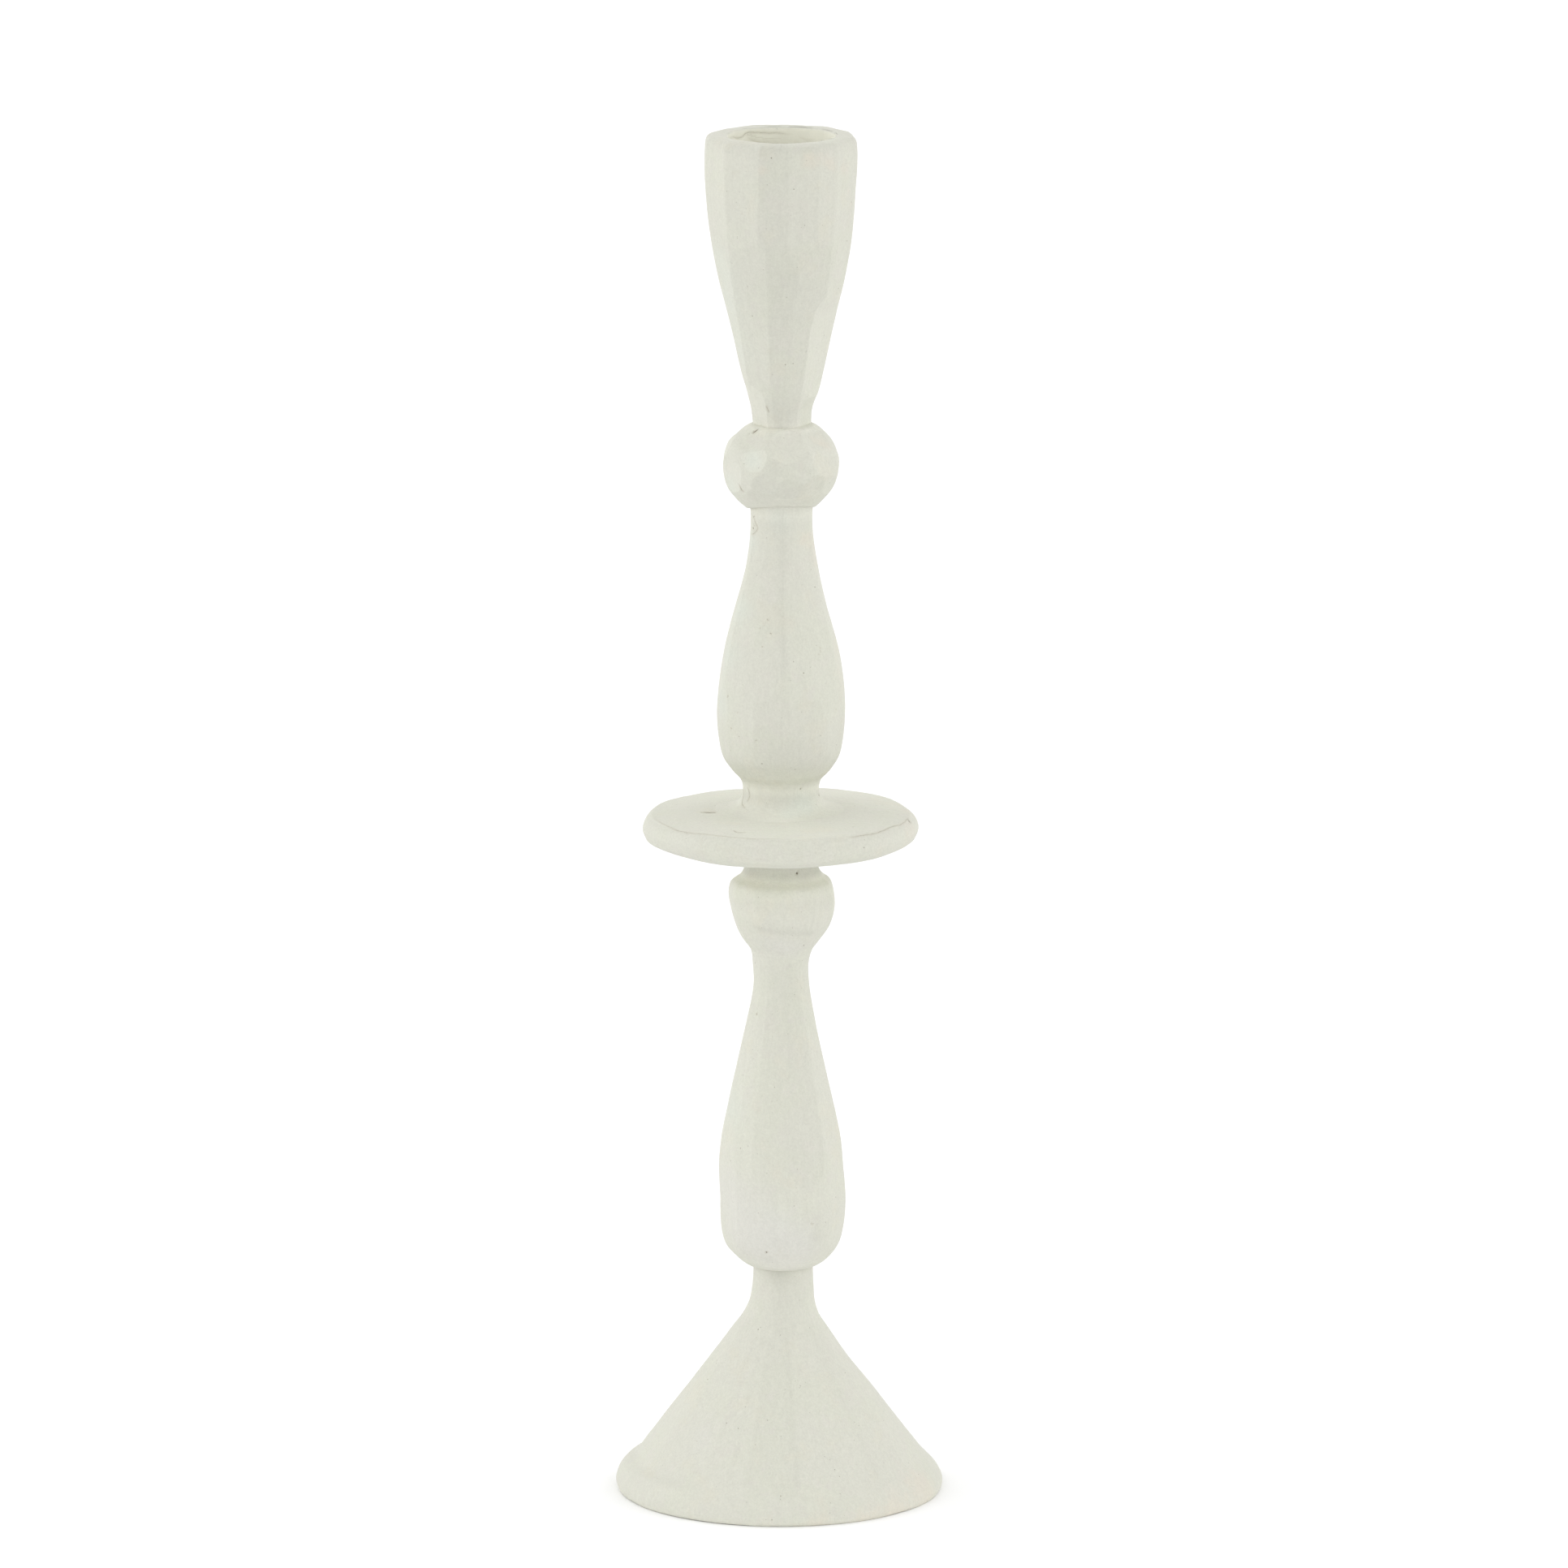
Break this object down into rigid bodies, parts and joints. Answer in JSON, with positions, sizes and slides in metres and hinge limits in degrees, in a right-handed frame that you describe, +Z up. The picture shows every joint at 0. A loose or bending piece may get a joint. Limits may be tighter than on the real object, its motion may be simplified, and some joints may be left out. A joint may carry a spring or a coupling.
{
  "type": "candlestick",
  "caption": "Tall hand-carved wooden candlestick, painted matte off-white, with a conical foot, baluster stem, round drip plate, knop and flared cup for a dinner candle.",
  "frame": {"origin": "on the table, under the middle of the foot, at the underside of the felt pad", "axes": "+Z up along the stem towards the candle socket, +X to the right and -Y to the front as the candlestick is usually seen"},
  "size_m": [0.0744, 0.0744, 0.3111],
  "materials": {
    "painted_wood": "matte off-white chalk paint, brushed over hand-carved wood",
    "dowel_wood": "bare fluted beech",
    "zinc_steel": "zinc plated",
    "felt": "pressed undyed wool felt"
  },
  "bodies": {
    "root": {"felt_pad": "felt", "foot": "painted_wood", "lower_column": "painted_wood", "drip_plate": "painted_wood", "upper_column": "painted_wood", "knop": "painted_wood", "candle_cup": "painted_wood", "plate_dowel": "dowel_wood", "knop_dowel": "dowel_wood", "foot_screw": "zinc_steel", "foot_washer": "zinc_steel"}
  },
  "joints": []
}
